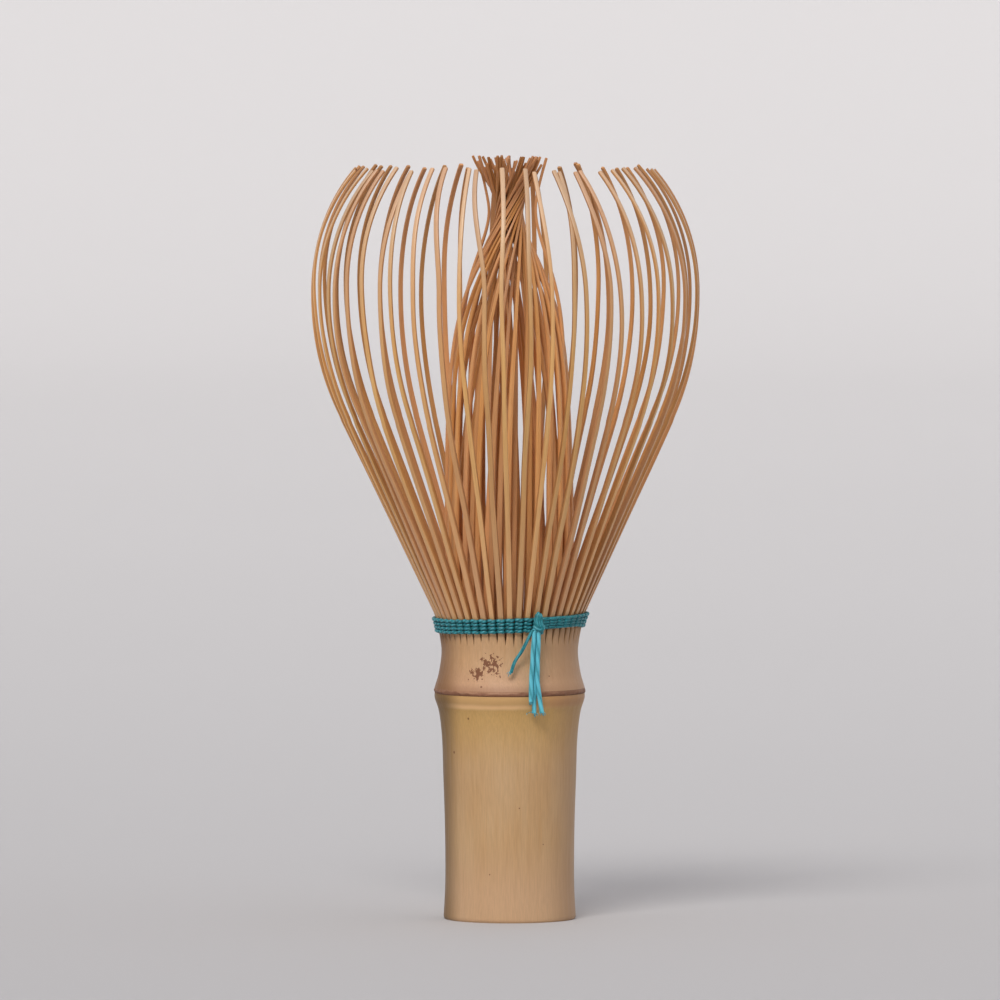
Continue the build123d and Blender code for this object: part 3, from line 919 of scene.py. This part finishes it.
def make_tail(name, points, hinge, start, radius=0.36, shade=1.3):
    """A loose thread end from start, under the knot, through points.  hinge is not used."""
    piece = Piece()
    path = through([start] + points, 90)
    # A shade over 1 lightens the tail towards the painted highlight colour.
    thread_tube(piece, path, facing_front(path), radius=radius, shade=shade, ply_turn=7.0, relief=0.08)
    fray(piece, path[-1], unit(path[-1] - path[-3]))
    tail = piece.make(f"{name}_strand", [thread])
    hinge = Vector(hinge) * MM
    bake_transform(tail)
    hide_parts(name)


def make_knot():
    """Turns of thread round the band, with one laid across them, and the ends leaving below."""
    piece = Piece()
    # A shade a little over 1 lightens the knot towards the painted highlight colour.
    look = {"radius": 0.27, "ply_turn": 3.0, "relief": 0.12}
    centre = np.array(KNOT) + (0, 0.15, 0)
    outward = unit(np.array([KNOT[0], KNOT[1], 0.0]))
    side = np.array([-outward[1], outward[0], 0.0])
    up = np.array([0.0, 0.0, 1.0])
    turn = np.linspace(0, 2 * math.pi, 61)[:, None]
    # Each turn's place along the band, half its height, and how far it leans.
    for offset, tall, lean in ((-0.36, 1.35, 0.08), (0.02, 1.62, -0.05), (0.4, 1.4, -0.12)):
        path = centre + side * (offset + lean * np.sin(turn))
        path = path + up * (tall * np.sin(turn)) + outward * (0.42 * np.cos(turn))
        path[-1] = path[0]
        thread_tube(piece, path, np.tile(side, (len(path), 1)), closed=True, shade=1.08, **look)
    # Along the band, outward and up from the knot's middle.
    cross = [(-0.8, 0.1, -0.3), (-0.45, 0.5, -0.75), (0.05, 0.66, -0.95), (0.5, 0.5, -0.8), (0.8, 0.1, -0.35)]
    path = through([centre + side * a + outward * b + up * c for a, b, c in cross], 40)
    thread_tube(piece, path, np.tile(outward, (len(path), 1)), shade=1.1, **look)
    knot = piece.make("thread_knot_strands", [thread], merge=0.003)
    place(knot, "thread_knot")


# ---------------------------------------------------------------- assembly
place(make_culm(), "handle_culm")
place(make_ring(), "node_ring")
place(make_collar(), "tine_collar")
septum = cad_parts["node_septum"]
septum.data.materials.clear()
septum.data.materials.append(pith)
make_tines()
make_wraps()
make_inner_course()
make_knot()
for name, points in MAIN_TAILS.items():
    start = (points[0][0] * 0.6 + KNOT[0] * 0.4, points[0][1], 46.0)
    make_tail(name, points, TAIL_HINGE, start)
side_start = (3.7, -12.6, 45.6)
make_tail("thread_tail_side", SIDE_TAIL, SIDE_TAIL_HINGE, side_start, radius=0.27, shade=1.1)

# ---------------------------------------------------------------- stage, light and camera, in metres
FLOOR_RADIUS = 3.2
WALL_HEIGHT = 2.4
COVE = 0.9                      # radius of the bend between floor and wall
STAGE_SIDES = 96


def make_stage():
    """A round floor whose edge bends up into a wall, so that every view sees the same plain paper."""
    bend = np.radians(np.linspace(0, 90, 13))
    flat = FLOOR_RADIUS - COVE
    profile = [(0.25, 0), (1.0, 0), (flat, 0)]
    profile += [(flat + COVE * math.sin(a), COVE * (1 - math.cos(a))) for a in bend[1:]]
    profile += [(FLOOR_RADIUS, WALL_HEIGHT)]
    points = turned(profile, np.linspace(0, 360, STAGE_SIDES, endpoint=False)).reshape(-1, 3)
    faces = [tuple(range(STAGE_SIDES - 1, -1, -1))]
    for low in range(0, len(points) - STAGE_SIDES, STAGE_SIDES):
        for j in range(STAGE_SIDES):
            k = (j + 1) % STAGE_SIDES
            faces.append((low + j, low + k, low + STAGE_SIDES + k, low + STAGE_SIDES + j))
    mesh = bpy.data.meshes.new("floor")
    mesh.from_pydata(points.tolist(), [], faces)
    mesh.polygons.foreach_set("use_smooth", [True] * len(faces))
    paper = Shading("floor_paper", Roughness=0.85)
    cloud = paper.noise(paper.add("TexCoord", output="Object"), 1.5, 2)
    paper.link(paper.mix(cloud, srgb(192, 190, 191), srgb(196, 194, 195)), "Base Color")
    mesh.materials.append(paper.material)
    floor = bpy.data.objects.new("floor", mesh)
    bpy.context.scene.collection.objects.link(floor)


def sun_light(name, direction, strength, softness, colour):
    """Even soft light that comes from direction.  softness is the angle it spreads over, in degrees."""
    data = bpy.data.lights.new(name, "SUN")
    data.energy = strength
    data.angle = math.radians(softness)
    data.color = colour
    light = bpy.data.objects.new(name, data)
    light.rotation_euler = Vector(direction).to_track_quat("Z", "Y").to_euler()
    bpy.context.scene.collection.objects.link(light)


make_stage()
sun_light("key", (-0.3, -1.0, 0.88), strength=2.7, softness=28, colour=(1.0, 0.985, 0.955))
sun_light("fill", (1.0, -0.35, 0.35), strength=0.18, softness=60, colour=(0.96, 0.97, 1.0))
world = bpy.data.worlds.new("studio")
world.use_nodes = True
background = world.node_tree.nodes["Background"]
background.inputs["Color"].default_value = (0.88, 0.88, 0.91, 1)
background.inputs["Strength"].default_value = 0.74
bpy.context.scene.world = world
bpy.context.scene.view_settings.view_transform = "Standard"

CAMERA_AT = Vector((-0.0015, -1.85, 0.150))
CAMERA_AIM = Vector((-0.0015, 0, 0.065))
camera_data = bpy.data.cameras.new("camera")
camera_data.sensor_width = 36
camera_data.lens = 430
camera = bpy.data.objects.new("camera", camera_data)
camera.location = CAMERA_AT
camera.rotation_euler = (CAMERA_AIM - CAMERA_AT).to_track_quat("-Z", "Y").to_euler()
bpy.context.scene.collection.objects.link(camera)
bpy.context.scene.camera = camera

bpy.context.view_layer.update()
